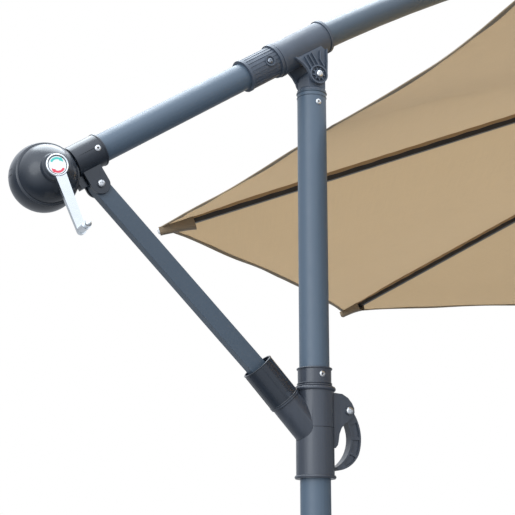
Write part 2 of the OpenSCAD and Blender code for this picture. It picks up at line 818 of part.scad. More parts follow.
cross_beams();
beam_end_caps();
ballast_slabs();
mast_socket();
base_bolts();
mast_tube();
mast_head();
stop_collar();
mast_rivets();
pivot_bolt();
slider_body();
slider_skirt();
branch_cup();
strut_pin();
release_lever();
lever_bolt();
clamp_shoe();
clamp_spring();
boom_tube();
tee_bracket();
fluted_collar();
collar_button();
housing_front();
housing_rear();
housing_sleeve();
clevis_bolt();
boom_rivets();
hub_bracket();
crown_hub();
runner_hub();
lift_cord();
cord_drum();
crank_arm();
crank_dial();
crank_grip();
brace_strut();
for (i = [1:RIBS]) {
    rib(i);
    stretcher(i);
    canopy(i);
}
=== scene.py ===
from math import cos, exp, pi, radians, sin, sqrt, tan

import bmesh
import bpy
from mathutils import Matrix, Vector, noise

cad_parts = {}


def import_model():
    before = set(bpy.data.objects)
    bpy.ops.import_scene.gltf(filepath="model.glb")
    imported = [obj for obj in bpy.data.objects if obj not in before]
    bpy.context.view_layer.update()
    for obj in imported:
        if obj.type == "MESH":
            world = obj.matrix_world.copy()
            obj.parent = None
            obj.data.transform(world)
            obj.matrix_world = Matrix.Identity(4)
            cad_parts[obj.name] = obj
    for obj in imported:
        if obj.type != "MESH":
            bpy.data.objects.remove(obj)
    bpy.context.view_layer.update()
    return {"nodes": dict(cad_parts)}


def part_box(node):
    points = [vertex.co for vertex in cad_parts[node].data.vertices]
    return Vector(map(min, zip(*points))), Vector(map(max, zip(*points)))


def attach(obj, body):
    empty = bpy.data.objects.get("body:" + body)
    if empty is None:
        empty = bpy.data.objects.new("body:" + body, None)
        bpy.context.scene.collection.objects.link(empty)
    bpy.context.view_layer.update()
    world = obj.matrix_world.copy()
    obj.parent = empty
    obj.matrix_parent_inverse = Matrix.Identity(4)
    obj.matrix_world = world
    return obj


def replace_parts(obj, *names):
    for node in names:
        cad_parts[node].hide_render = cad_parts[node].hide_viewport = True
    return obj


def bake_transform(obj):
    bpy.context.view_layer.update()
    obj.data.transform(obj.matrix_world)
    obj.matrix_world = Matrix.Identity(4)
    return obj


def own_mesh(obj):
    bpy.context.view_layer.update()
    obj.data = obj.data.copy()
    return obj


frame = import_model()
NODES = frame["nodes"]
RIBS = 8

# ---- places, the same as the CAD model's, in metres and radians ----

PIVOT_Z = 2.143
BOOM_SLOPE = radians(33.5)
BOOM_RISE = 0.056
MAST_R = 0.024
ARC_R = 3.4
TEE_BACK = 0.0445
LEAN = radians(5)
HUB_SLOPE = radians(4)
HUB_DROP = 0.095
CRANK_BACK = 0.503
CRANK_TURN = radians(23.5)
BRACE_BACK = 0.366
BRACE_DROP = 0.233
MAST_RIVET_Z = 2.096
COLLAR_RIVET_Z = 1.644
SLEEVE_RIVET_X = -0.414
CUP_AT = (-0.05878, 0, 1.60914)
CUP_SLOPE = radians(46.9)
RIB_SLOPE = radians(14)
CANOPY_R = 1.767
HINGE_R = 0.045
HALF_STEP = pi / RIBS
FALL = tan(RIB_SLOPE) / cos(HALF_STEP)
CLOTH_IN = 0.062
SCALLOP = 0.048
RIB_LEN = (CANOPY_R - HINGE_R) / cos(RIB_SLOPE)

BOOM = Matrix.Translation((0, 0, PIVOT_Z)) @ Matrix.Rotation(-BOOM_SLOPE, 4, "Y")
CRANK = Matrix.Translation(BOOM @ Vector((-CRANK_BACK, 0, BOOM_RISE)))
ARM = CRANK @ Matrix.Rotation(pi / 2 - CRANK_TURN, 4, "Y")
ARC_X = -TEE_BACK * cos(BOOM_SLOPE) + (ARC_R - BOOM_RISE) * sin(BOOM_SLOPE)
ARC_Z = PIVOT_Z - TEE_BACK * sin(BOOM_SLOPE) - (ARC_R - BOOM_RISE) * cos(BOOM_SLOPE)
BOOM_AT_HUB = Vector((ARC_X - ARC_R * sin(HUB_SLOPE), 0, ARC_Z + ARC_R * cos(HUB_SLOPE)))
HUB_TILT = Matrix.Rotation(-LEAN, 4, "Y")
HUB = Matrix.Translation(BOOM_AT_HUB - HUB_TILT @ Vector((0, 0, HUB_DROP))) @ HUB_TILT


def rib_angle(i):
    """Rib i's direction round the hub, from +X."""
    return HALF_STEP * (2 * i - 1)


def panel_frame(i):
    """The hub's frame, turned so that X runs out over rib i."""
    return HUB @ Matrix.Rotation(rib_angle(i), 4, "Z")


def rib_frame(i):
    """The frame at rib i's hinge: X down along the rib, Z off its top."""
    hinge = Matrix.Translation((HINGE_R, 0, -HINGE_R * tan(RIB_SLOPE)))
    return panel_frame(i) @ hinge @ Matrix.Rotation(RIB_SLOPE, 4, "Y")


# ---- materials ----


class Paint:
    """A Principled material and short ways to wire its nodes."""

    def __init__(self, name, colour, roughness, metallic=0.0):
        self.material = bpy.data.materials.new(name)
        self.material.use_nodes = True
        self.tree = self.material.node_tree
        self.shader = self.tree.nodes["Principled BSDF"]
        self.shader.inputs["Base Color"].default_value = (*colour, 1)
        self.shader.inputs["Roughness"].default_value = roughness
        self.shader.inputs["Metallic"].default_value = metallic
        self.place = self.node("ShaderNodeTexCoord").outputs["Object"]

    def node(self, kind, **values):
        made = self.tree.nodes.new(kind)
        for key, value in values.items():
            setattr(made, key, value)
        return made

    def link(self, source, target):
        self.tree.links.new(source, target)

    def set(self, **values):
        for key, value in values.items():
            self.shader.inputs[key.replace("_", " ")].default_value = value

    def stretched(self, scale, place=None):
        made = self.node("ShaderNodeMapping")
        made.inputs["Scale"].default_value = scale
        self.link(place or self.place, made.inputs["Vector"])
        return made.outputs["Vector"]

    def noise(self, scale, detail=2.0, rough=0.5, place=None):
        made = self.node("ShaderNodeTexNoise")
        made.inputs["Scale"].default_value = scale
        made.inputs["Detail"].default_value = detail
        made.inputs["Roughness"].default_value = rough
        self.link(place or self.place, made.inputs["Vector"])
        return made.outputs["Fac"]

    def spread(self, value, low, high, to_low, to_high):
        made = self.node("ShaderNodeMapRange")
        self.link(value, made.inputs["Value"])
        sockets = ("From Min", "From Max", "To Min", "To Max")
        for key, number in zip(sockets, (low, high, to_low, to_high)):
            made.inputs[key].default_value = number
        return made.outputs["Result"]

    def math(self, operation, a, b):
        made = self.node("ShaderNodeMath", operation=operation)
        for socket, value in zip(made.inputs, (a, b)):
            if isinstance(value, (int, float)):
                socket.default_value = value
            else:
                self.link(value, socket)
        return made.outputs[0]

    def mixed(self, share, a, b):
        made = self.node("ShaderNodeMix", data_type="RGBA")
        self.link(share, made.inputs["Factor"])
        for socket, colour in ((made.inputs["A"], a), (made.inputs["B"], b)):
            if isinstance(colour, tuple):
                socket.default_value = (*colour, 1)
            else:
                self.link(colour, socket)
        return made.outputs["Result"]

    def bump(self, height, distance, strength=1.0, under=None):
        made = self.node("ShaderNodeBump")
        made.inputs["Strength"].default_value = strength
        made.inputs["Distance"].default_value = distance
        self.link(height, made.inputs["Height"])
        if under is not None:
            self.link(under, made.inputs["Normal"])
        return made.outputs["Normal"]

    def colour(self, socket):
        self.link(socket, self.shader.inputs["Base Color"])

    def roughness(self, socket):
        self.link(socket, self.shader.inputs["Roughness"])

    def normal(self, socket):
        self.link(socket, self.shader.inputs["Normal"])

    def edges(self, low=0.52, high=0.62):
        """1 on sharp outer edges, 0 elsewhere."""
        pointed = self.node("ShaderNodeNewGeometry").outputs["Pointiness"]
        return self.spread(pointed, low, high, 0.0, 1.0)


def shade(colour, factor):
    """The colour made darker or lighter."""
    return tuple(channel * factor for channel in colour)


def powder_coat(name, colour, roughness):
    """Satin powder coat: fine orange peel, faint clouding, and sharp edges painted lighter as a painted
    highlight.
    """
    paint = Paint(name, colour, roughness)
    clouds = paint.noise(9.0, 3.0)
    flecks = paint.noise(2600.0, 1.0)
    body = paint.mixed(paint.spread(clouds, 0.3, 0.7, 0.0, 1.0), shade(colour, 0.93), shade(colour, 1.08))
    speckled = paint.mixed(paint.spread(flecks, 0.62, 0.8, 0.0, 0.25), body, shade(colour, 1.7))
    # Painted highlight: sharp outer edges are painted lighter.
    paint.colour(paint.mixed(paint.edges(), speckled, shade(colour, 1.5)))
    paint.roughness(paint.spread(paint.noise(60.0, 4.0), 0.3, 0.7, roughness - 0.05, roughness + 0.06))
    paint.normal(paint.bump(paint.noise(700.0, 2.0), 0.0002, 0.35))
    paint.set(Coat_Weight=0.08, Coat_Roughness=0.3)
    return paint.material


def moulded_plastic(name, colour, roughness, coat=0.3, flow_scale=(14.0, 14.0, 14.0), flow_depth=0.0004):
    """Glass-filled plastic with a flow pattern and fine pitting; coat is the share of clear gloss."""
    paint = Paint(name, colour, roughness)
    drawn = paint.stretched(flow_scale)
    flow = paint.noise(1.0, 4.0, 0.6, drawn)
    body = paint.mixed(paint.spread(flow, 0.3, 0.7, 0.0, 1.0), shade(colour, 0.88), shade(colour, 1.14))
    # Painted highlight: sharp outer edges are painted lighter.
    paint.colour(paint.mixed(paint.edges(0.53, 0.66), body, shade(colour, 1.6)))
    smears = paint.noise(35.0, 5.0, 0.65)
    paint.roughness(paint.spread(smears, 0.3, 0.75, roughness - 0.05, roughness + 0.10))
    fine = paint.bump(paint.noise(1500.0, 1.0), 0.0001, 0.25)
    waves = paint.noise(4.0, 2.0, 0.5, drawn)
    paint.normal(paint.bump(waves, flow_depth, 0.25, fine))
    paint.set(Coat_Weight=coat, Coat_Roughness=0.18)
    return paint.material


def bare_metal(name, colour, roughness, streak, wear):
    """Bare metal: drawn or polished streaks and a smeared gloss."""
    paint = Paint(name, colour, roughness, 1.0)
    streaks = paint.noise(1.0, 3.0, 0.6, paint.stretched(streak))
    smears = paint.noise(45.0, 5.0, 0.7)
    paint.colour(paint.mixed(paint.spread(smears, 0.35, 0.8, 0.0, 1.0), colour, shade(colour, wear)))
    drawn = paint.spread(streaks, 0.3, 0.7, -0.05, 0.05)
    smeared = paint.spread(smears, 0.3, 0.75, 0.0, 0.12)
    paint.roughness(paint.math("ADD", paint.math("ADD", drawn, smeared), roughness))
    paint.normal(paint.bump(streaks, 0.0001, 0.3))
    return paint.material


def rough_concrete(name, colour):
    """Cast concrete: grit, pores and stains."""
    paint = Paint(name, colour, 0.9)
    grit = paint.noise(420.0, 4.0, 0.7)
    stains = paint.noise(7.0, 5.0, 0.6)
    pores = paint.node("ShaderNodeTexVoronoi")
    pores.inputs["Scale"].default_value = 130.0
    paint.link(paint.place, pores.inputs["Vector"])
    hole = paint.spread(pores.outputs["Distance"], 0.0, 0.22, 0.0, 1.0)
    body = paint.mixed(paint.spread(grit, 0.3, 0.7, 0.0, 1.0), shade(colour, 0.82), shade(colour, 1.12))
    stained = paint.mixed(paint.spread(stains, 0.45, 0.75, 0.0, 0.5), body, shade(colour, 0.7))
    # Painted shade: the pores are painted darker.
    paint.colour(paint.mixed(hole, shade(colour, 0.5), stained))
    paint.normal(paint.bump(hole, 0.0015, 0.6, paint.bump(grit, 0.0008, 0.6)))
    return paint.material


def woven_cloth(name, colour, glow, through_colour, thread=0.0009):
    """Plain woven polyester. The weave follows the piece's own map, which is in metres.
    glow is the share of light that it lets through, in through_colour."""
    paint = Paint(name, colour, 0.82)
    flat = paint.node("ShaderNodeUVMap", uv_map="weave").outputs["UV"]
    threads = []
    for direction in ("X", "Y"):
        wave = paint.node("ShaderNodeTexWave", wave_type="BANDS", bands_direction=direction)
        wave.inputs["Scale"].default_value = pi / 10 / thread
        wave.inputs["Distortion"].default_value = 0.6
        wave.inputs["Detail"].default_value = 1.0
        paint.link(flat, wave.inputs["Vector"])
        threads.append(wave.outputs["Fac"])
    weave = paint.math("MULTIPLY", threads[0], threads[1])
    warp = paint.noise(1.0, 3.0, 0.6, paint.stretched((520.0, 9.0, 1.0), flat))
    weft = paint.noise(1.0, 3.0, 0.6, paint.stretched((9.0, 520.0, 1.0), flat))
    slubs = paint.math("ADD", warp, weft)
    clouds = paint.noise(2.3, 4.0, 0.55)
    body = paint.mixed(paint.spread(slubs, 0.75, 1.25, 0.0, 1.0), shade(colour, 0.93), shade(colour, 1.06))
    worn = paint.mixed(paint.spread(clouds, 0.3, 0.7, 0.0, 0.6), body, shade(colour, 0.94))
    # Painted shade: the gaps between the threads are painted darker.
    gap_shade = paint.mixed(paint.spread(weave, 0.0, 0.5, 0.35, 0.0), worn, shade(colour, 0.72))
    paint.colour(gap_shade)
    paint.roughness(paint.spread(slubs, 0.75, 1.25, 0.76, 0.9))
    paint.normal(paint.bump(weave, 0.00015, 0.5, paint.bump(slubs, 0.0002, 0.3)))
    paint.set(Sheen_Weight=0.25, Sheen_Roughness=0.45, Specular_IOR_Level=0.25)
    through = paint.node("ShaderNodeBsdfTranslucent")
    thin, thick = shade(through_colour, 0.965), shade(through_colour, 1.03)
    paint.link(paint.mixed(paint.spread(slubs, 0.75, 1.25, 0.0, 1.0), thin, thick), through.inputs["Color"])
    mix = paint.node("ShaderNodeMixShader")
    mix.inputs["Fac"].default_value = glow
    paint.link(paint.shader.outputs["BSDF"], mix.inputs[1])
    paint.link(through.outputs["BSDF"], mix.inputs[2])
    paint.link(mix.outputs["Shader"], paint.tree.nodes["Material Output"].inputs["Surface"])
    return paint.material


def printed(name, colour):
    """Enamelled or printed plastic with a soft gloss and fine dust."""
    paint = Paint(name, colour, 0.3)
    dust = paint.noise(240.0, 4.0, 0.7)
    paint.colour(paint.mixed(paint.spread(dust, 0.55, 0.85, 0.0, 0.35), colour, shade(colour, 0.78)))
    paint.roughness(paint.spread(dust, 0.3, 0.8, 0.24, 0.42))
    paint.normal(paint.bump(paint.noise(900.0), 0.00005, 0.3))
    paint.set(Coat_Weight=0.5, Coat_Roughness=0.12)
    return paint.material


def braided(name, colour):
    """Braided cord: crossing strands."""
    paint = Paint(name, colour, 0.8)
    strands = []
    for slant in (1.0, -1.0):
        wave = paint.node("ShaderNodeTexWave", wave_type="BANDS", bands_direction="DIAGONAL")
        wave.inputs["Scale"].default_value = 160.0
        wave.inputs["Distortion"].default_value = 0.4
        paint.link(paint.stretched((slant, slant, 1.0)), wave.inputs["Vector"])
        strands.append(wave.outputs["Fac"])
    plait = paint.math("MAXIMUM", strands[0], strands[1])
    # Painted shade: the grooves between the strands are painted darker.
    paint.colour(paint.mixed(plait, shade(colour, 0.55), colour))
    paint.normal(paint.bump(plait, 0.0004, 0.8))
    paint.set(Sheen_Weight=0.3)
    return paint.material


FRAME_GREY = (0.047, 0.070, 0.097)
SHELL_GREY = (0.011, 0.017, 0.027)
SATIN_GREY = (0.052, 0.068, 0.094)
TAN = (0.53, 0.405, 0.252)

LOOKS = {
    "frame_paint": powder_coat("powder_coat", FRAME_GREY, 0.42),
    "grey_plastic": moulded_plastic("moulded_plastic", SHELL_GREY, 0.30),
    "rib_black": powder_coat("black_lacquer", (0.010, 0.011, 0.014), 0.42),
    "bright_steel": bare_metal("zinc_steel", (0.66, 0.68, 0.70), 0.26, (90.0, 90.0, 900.0), 0.75),
    "chrome": bare_metal("polished_alloy", (0.80, 0.84, 0.87), 0.14, (60.0, 60.0, 600.0), 0.93),
    "dial_white": printed("dial_enamel", (0.86, 0.88, 0.88)),
    "concrete": rough_concrete("cast_concrete", (0.40, 0.38, 0.35)),
    "cord": braided("cord_braid", (0.42, 0.40, 0.36)),
    "canopy_cloth": woven_cloth("canopy_weave", TAN, 0.5, (0.715, 0.605, 0.455)),
}
# Painted shade: the hem is the canopy's cloth, doubled, and its darker colour stands in for the light that the
# doubled cloth holds back.
HEM_SHADE_CLOTH = woven_cloth("hem_weave", shade(TAN, 0.6), 0.2, TAN)
# Painted shade: the seam's folds are the canopy's cloth, doubled, and their darker, browner colour stands in for
# the light that the doubled cloth holds back.
SEAM_SHADE_CLOTH = woven_cloth("seam_weave", (0.44, 0.30, 0.17), 0.2, TAN)
POCKET_CLOTH = woven_cloth("pocket_weave", (0.22, 0.165, 0.105), 0.05, TAN)
TEAL = printed("teal_print", (0.06, 0.56, 0.50))
RED = printed("red_print", (0.75, 0.05, 0.09))
PALE_CAP = moulded_plastic("pale_nylon", (0.55, 0.56, 0.57), 0.45)
SATIN = moulded_plastic("satin_plastic", SATIN_GREY, 0.46, 0.06)
DRAWN = moulded_plastic("drawn_plastic", (0.036, 0.044, 0.059), 0.34, 0.25, (80.0, 80.0, 2.5), 0.0012)
# Darker steel for the collar's screw: painted shade of the recess that it sits in.
SHADED_STEEL = bare_metal("shaded_steel", (0.26, 0.29, 0.33), 0.28, (90.0, 90.0, 900.0), 0.7)


# ---- mesh building ----


def face_out(mesh):
    """Turns a closed mesh's faces so that they all look outwards."""
    work = bmesh.new()
    work.from_mesh(mesh)
    bmesh.ops.recalc_face_normals(work, faces=work.faces)
    work.to_mesh(mesh)
    work.free()


def piece(name, verts, faces, body, material, smooth=radians(32), place=None):
    """A new mesh object from points and faces, riding on a CAD body if one is named."""
    mesh = bpy.data.meshes.new(name)
    points = [place @ Vector(v) for v in verts] if place else verts
    mesh.from_pydata(points, [], faces)
    mesh.validate()
    face_out(mesh)
    mesh.shade_smooth()
    mesh.set_sharp_from_angle(angle=smooth)
    made = bpy.data.objects.new(name, mesh)
    bpy.context.scene.collection.objects.link(made)
    mesh.materials.append(material)
    if body:
        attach(made, body)
    return made


def lathe(profile, steps=48):
    """Points and faces of a closed ring round Z; the profile is a closed loop of (radius, z)."""
    verts, faces = [], []
    count = len(profile)
    for k in range(steps):
        a = 2 * pi * k / steps
        verts += [(r * cos(a), r * sin(a), z) for r, z in profile]
    for k in range(steps):
        here, there = k * count, (k + 1) % steps * count
        for j in range(count):
            n = (j + 1) % count
            faces.append((here + j, there + j, there + n, here + n))
    return verts, faces


def strip(rows):
    """A closed skin round a list of equal loops of points, capped at both ends."""
    count = len(rows[0])
    verts = [p for row in rows for p in row]
    faces = []
    for k in range(len(rows) - 1):
        for j in range(count):
            n = (j + 1) % count
            faces.append((k * count + j, k * count + n, (k + 1) * count + n, (k + 1) * count + j))
    faces.append(tuple(range(count))[::-1])
    last = (len(rows) - 1) * count
    faces.append(tuple(last + j for j in range(count)))
    return verts, faces


def sheet_shell(low, high):
    """A closed thin shell from two equal grids of points: its underside and its top."""
    rows, cols = len(low), len(low[0])
    verts = [p for row in low for p in row] + [p for row in high for p in row]
    half = rows * cols
    faces = []
    for a in range(rows - 1):
        for b in range(cols - 1):
            quad = (a * cols + b, a * cols + b + 1, (a + 1) * cols + b + 1, (a + 1) * cols + b)
            faces.append(quad)
            faces.append(tuple(half + q for q in reversed(quad)))
    rim = [b for b in range(cols)]
    rim += [a * cols + cols - 1 for a in range(1, rows)]
    rim += [(rows - 1) * cols + b for b in range(cols - 2, -1, -1)]
    rim += [a * cols for a in range(rows - 2, 0, -1)]
    for k, p in enumerate(rim):
        q = rim[(k + 1) % len(rim)]
        faces.append((q, p, half + p, half + q))
    return verts, faces


def map_in_metres(made, where):
    """Lays the weave's map: where gives each vertex's flat place in metres."""
    layer = made.data.uv_layers.new(name="weave")
    flat = [where(v.index) for v in made.data.vertices]
    for loop in made.data.loops:
        layer.data[loop.index].uv = flat[loop.vertex_index]


# ---- canopy ----

CLOTH_T = 0.0008
RIB_HALF_H = 0.006
RIB_HALF_W = 0.006
# The cloth's gap over a rib, its rise past the tip pocket and its dip at the hub, and where each one is
CLOTH_GAP = 0.0014
CLOTH_RISE = 0.0038
CLOTH_DIP = 0.0030
RISE_FROM = 0.055
RISE_OVER = 0.16
DIP_OVER = 0.16
SAG = 0.007
# How far the cloth's edge hangs in each gap, and how much more on the low side of one loose rib
LOOSE_RIB = 5
LOOSE_HANG = 0.012
GAP_HANG = (0.012, 0.000, 0.028, 0.003, 0.014, 0.018, 0.012, 0.015)
# Heights of the cloth's broad and fine slack waves, the pulls that run in to a rib's tip and the puckers
BROAD_WAVE = 0.0022
FINE_WAVE = 0.0010
TIP_PULL = 0.0016
PUCKER = 0.0006
PUCKER_PITCH = 0.047
ROWS = 110
COLS = 16


def eased(x):
    """A soft step: 0 up to 0, 1 from 1 on."""
    x = min(1.0, max(0.0, x))
    return x * x * (3 - 2 * x)


def cloth_lift(along):
    """The cloth's height over the rib's axis: down on the rib at its tip and hub, clear of it between."""
    from_tip = (1 - along) * RIB_LEN
    rise = CLOTH_RISE * eased((from_tip - RISE_FROM) / RISE_OVER)
    dip = CLOTH_DIP * eased((DIP_OVER - along) / DIP_OVER)
    return (RIB_HALF_H + CLOTH_GAP + (rise - dip)) / cos(RIB_SLOPE)


def edge_hang(i, side, across):
    """How far the cloth's edge hangs between two ribs: the tension differs from gap to gap."""
    gap = (i - 1 if side > 0 else i - 2) % RIBS
    loose = LOOSE_HANG if i == LOOSE_RIB and side < 0 else 0.0
    return GAP_HANG[gap] * (1 - (1 - across) ** 2) + loose * sin(pi * across)


def cloth_point(i, side, across, along):
    """A place on the cloth's underside in rib i's turned hub frame. across: 0 on the rib, 1 mid gap."""
    tip = CANOPY_R - 0.001
    bow = SCALLOP * (1 - (1 - across) ** 2)
    out_m = tip * cos(HALF_STEP) - bow
    out_c = tip * sin(HALF_STEP) * (1 - across)
    in_m = CLOTH_IN * cos(HALF_STEP)
    in_c = CLOTH_IN * sin(HALF_STEP) * (1 - across)
    m = in_m + (out_m - in_m) * along
    c = in_c + (out_c - in_c) * along
    z = -m * FALL + cloth_lift(along)
    z -= SAG * sin(pi * along) ** 0.7 * cos(pi * (1 - across) / 2) ** 1.2
    z -= edge_hang(i, side, across) * along ** 1.4
    a = side * HALF_STEP
    x = m * cos(a) + c * sin(a) * side
    y = m * sin(a) - c * cos(a) * side
    return Vector((x, y, z))


def wrinkled(turn, p):
    """Slack waves in the cloth, the same where two panels meet, and puckers beside the rib's seam."""
    flat = turn @ Vector((p.x, p.y, 0))
    off_rib = abs(p.y)
    slack = min(1.0, off_rib / 0.08)
    waves = BROAD_WAVE * noise.noise(flat * 3.1 + Vector((4.2, 1.7, 0)))
    waves += FINE_WAVE * noise.noise(flat * 8.0 + Vector((9.1, 3.3, 0)))
    to_tip = CANOPY_R - p.x
    pull = exp(-to_tip / 0.30) * min(1.0, to_tip / 0.05)
    waves += TIP_PULL * pull * sin(34 * off_rib / max(to_tip, 0.04))
    pucker = PUCKER * sin(2 * pi * p.x / PUCKER_PITCH) * exp(-off_rib / 0.03) * min(1.0, off_rib / 0.012)
    return p + Vector((0, 0, waves * slack + pucker))


def on_cloth(i, side, across, along):
    """A place on the wrinkled cloth, in rib i's turned hub frame."""
    return wrinkled(Matrix.Rotation(rib_angle(i), 3, "Z"), cloth_point(i, side, across, along))


def columns():
    """(side, across) from one mid gap over the rib to the other, closer together near the rib."""
    spread = [(k / COLS) ** 1.6 for k in range(1, COLS + 1)]
    return [(-1, s) for s in reversed(spread)] + [(1, 0.0)] + [(1, s) for s in spread]


def folded_cloth(name, i, rows, material, place):
    """A closed skin of folded cloth on rib i, with its weave along the rib and round the fold."""
    verts, faces = strip(rows)
    made = piece(f"{name}_{i}", verts, faces, f"rib_{i}", material, radians(50), place)
    map_in_metres(made, lambda k: (verts[k].x, verts[k].y + verts[k].z))
    return made


def canopy_panel(i):
    """The cloth over rib i, to the middle of the gap on each side."""
    place = panel_frame(i)
    lines = columns()
    low = [[on_cloth(i, side, s, r / ROWS) for side, s in lines] for r in range(ROWS + 1)]
    high = [[p + Vector((0, 0, CLOTH_T)) for p in row] for row in low]
    verts, faces = sheet_shell(low, high)
    made = piece(f"canopy_panel_{i}", verts, faces, f"rib_{i}",
                 LOOKS["canopy_cloth"], radians(40), place)
    map_in_metres(made, lambda k: (verts[k].x, verts[k].y))
    return made


def hem(i):
    """The doubled band along the scalloped edge, under the panel and round its edge, painted darker as painted
    shade.
    """
    place = panel_frame(i)
    width, thick, steps = 0.0075, 0.0012, 26
    lines = [(-1, k / steps) for k in range(steps, 0, -1)] + [(1, k / steps) for k in range(0, steps + 1)]
    reach = CANOPY_R / cos(RIB_SLOPE)
    under, over = Vector((0, 0, -thick)), Vector((0, 0, CLOTH_T + 0.0005))
    bottom, top = Vector((0, 0, 0.0001)), Vector((0, 0, CLOTH_T * 0.9))
    rows = []
    for side, s in lines:
        edge = on_cloth(i, side, s, 1.0)
        inner = on_cloth(i, side, s, 1.0 - width / reach)
        out = (edge - inner).normalized() * thick
        rows.append([inner + under, edge + out + under, edge + out * 1.6, edge + out + over, inner + over,
                     inner + top, edge + top, edge + bottom, inner + bottom])
    verts, faces = strip(rows)
    made = piece(f"canopy_hem_{i}", verts, faces, f"rib_{i}", HEM_SHADE_CLOTH, radians(50), place)
    map_in_metres(made, lambda k: (verts[k].x, verts[k].y))
    return made


def seam_fold(i):
    """The seam's folded edges: they hang from the cloth over the rib and down both its sides, painted darker as
    painted shade.
    """
    place = panel_frame(i)
    steps, clear, wall = 120, 0.0005, 0.0011
    start, run = 0.045, 0.918
    near, far = RIB_HALF_W + clear, RIB_HALF_W + clear + wall
    down = Matrix.Rotation(RIB_SLOPE, 3, "Y") @ Vector((0, 0, -1))
    rows = []
    for k in range(steps + 1):
        along = start + run * k / steps
        top = on_cloth(i, 1, 0.0, along)
        above = cloth_lift(along) * cos(RIB_SLOPE) - RIB_HALF_H
        seat = top + down * (above - 0.0003)
        ripple = 0.0003 * sin(2 * pi * top.x / 0.039)
        unevenness = 0.0003 * noise.noise(Vector((top.x * 11, i * 5.0, 0)))
        wave = 0.0004 + ripple + unevenness
        foot = top + down * (above + 0.0026 + 0.0006 * sin(2 * pi * top.x / 0.061 + i))
        section = ((top, -near), (top, near),
                   (seat, far), (foot, far + wave), (foot, near + wave), (seat, near),
                   (seat, -near), (foot, -near - wave), (foot, -far - wave), (seat, -far))
        rows.append([point + Vector((0, y, 0)) for point, y in section])
    return folded_cloth("canopy_seam", i, rows, SEAM_SHADE_CLOTH, place)


def squarish(value, power):
    """A sine or cosine pushed out towards a square's corner, with its sign kept."""
    return abs(value) ** power * (1 if value >= 0 else -1)


def tip_pocket(i):
    """The pocket that holds the rib's end: a sleeve round the rib that flares towards the hub."""
    start, end, wall, steps = RIB_LEN - 0.074, RIB_LEN + 0.0015, 0.0011, 14
    rows = []
    for k in range(steps + 1):
        share = k / steps
        x = start + (end - start) * share
        flare = (1 - share) ** 1.5
        half_w = 0.0088 + 0.0056 * flare
        depth = 0.0088 + 0.0110 * flare + 0.0006 * sin(5 * share + i)
        top = 0.0070 + 0.0012 * flare
        outer, inner = [], []
        for a in range(0, 181, 15):
            cy = squarish(cos(radians(a)), 0.6)
            cz = -squarish(sin(radians(a)), 0.6)
            outer.append(Vector((x, cy * half_w, cz * depth)))
            inner.append(Vector((x, cy * (half_w - wall), cz * (depth - wall))))
        outer = [Vector((x, half_w, top))] + outer + [Vector((x, -half_w, top))]
        inner = [Vector((x, half_w - wall, top))] + inner + [Vector((x, wall - half_w, top))]
        rows.append(outer + inner[::-1])
    return folded_cloth("rib_pocket", i, rows, POCKET_CLOTH, rib_frame(i))


def rib_end(i):
    """The pale nylon plug in the end of a rib, rounded over."""
    steps = 20
    sections = ((-0.004, 0.0060, 0.0056), (0.0005, 0.0064, 0.0060), (0.0030, 0.0060, 0.0056),
                (0.0045, 0.0046, 0.0043), (0.0052, 0.0024, 0.0022))
    loops = []
    for x, half_w, half_h in sections:
        loop = []
        for k in range(steps):
            t = 2 * pi * k / steps
            y = squarish(cos(t), 0.5) * half_w
            z = squarish(sin(t), 0.5) * half_h
            loop.append(Vector((RIB_LEN + x, y, z)))
        loops.append(loop)
    verts, faces = strip(loops)
    return piece(f"rib_plug_{i}", verts, faces, f"rib_{i}", PALE_CAP, radians(50), rib_frame(i))


def canopy(i):
    """Everything soft on rib i, and the plug in its end."""
    cloth, band, fold = canopy_panel(i), hem(i), seam_fold(i)
    pocket = tip_pocket(i)
    rib_end(i)
    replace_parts(cloth, f"canopy_{i}")
    for soft in (cloth, band):
        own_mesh(soft)


# ---- crank dial ----


def arc_arrow(name, material, start, sweep):
    """A curved arrow on the dial's face, raised a little above it."""
    inner, outer, low, high = 0.0086, 0.0118, -0.06862, -0.06884
    steps, head = 22, 7
    mid = (inner + outer) / 2
    marks = []
    for k in range(steps + 1):
        a = start + sweep * k / steps
        wide = 0.5 * (outer - inner)
        if k > steps - head:
            wide *= 2.1 * (steps - k) / head + 0.05
        marks.append((a, mid - wide, mid + wide))
    rows = []
    for a, r_in, r_out in marks:
        corners = ((r_in, low), (r_out, low), (r_out, high), (r_in, high))
        rows.append([Vector((r * cos(a), y, r * sin(a))) for r, y in corners])
    verts, faces = strip(rows)
    return piece(name, verts, faces, "crank", material, radians(40), ARM)


def dial_marks():
    """Two generic arrows that show which way the crank winds."""
    up = pi / 2 - CRANK_TURN
    arc_arrow("dial_arrow_open", TEAL, up - radians(200), radians(-125))
    arc_arrow("dial_arrow_close", RED, up - radians(20), radians(-125))


# ---- fittings ----

FACING_Y = Matrix.Rotation(pi / 2, 4, "X")


def carved(made, cutters):
    """Cuts closed meshes, given as (points, faces), out of a piece before it is used."""
    for k, (verts, faces) in enumerate(cutters):
        mesh = bpy.data.meshes.new("cutter")
        mesh.from_pydata(verts, [], faces)
        face_out(mesh)
        cutter = bpy.data.objects.new("cutter", mesh)
        bpy.context.scene.collection.objects.link(cutter)
        step = made.modifiers.new(f"cut_{k}", "BOOLEAN")
        step.operation = "DIFFERENCE"
        step.solver = "EXACT"
        step.object = cutter
        bpy.context.view_layer.update()
        cut = made.evaluated_get(bpy.context.evaluated_depsgraph_get())
        result = bpy.data.meshes.new_from_object(cut)
        made.modifiers.clear()
        made.data = result
        bpy.data.objects.remove(cutter)
    made.data.shade_smooth()
    made.data.set_sharp_from_angle(angle=radians(32))
    return made


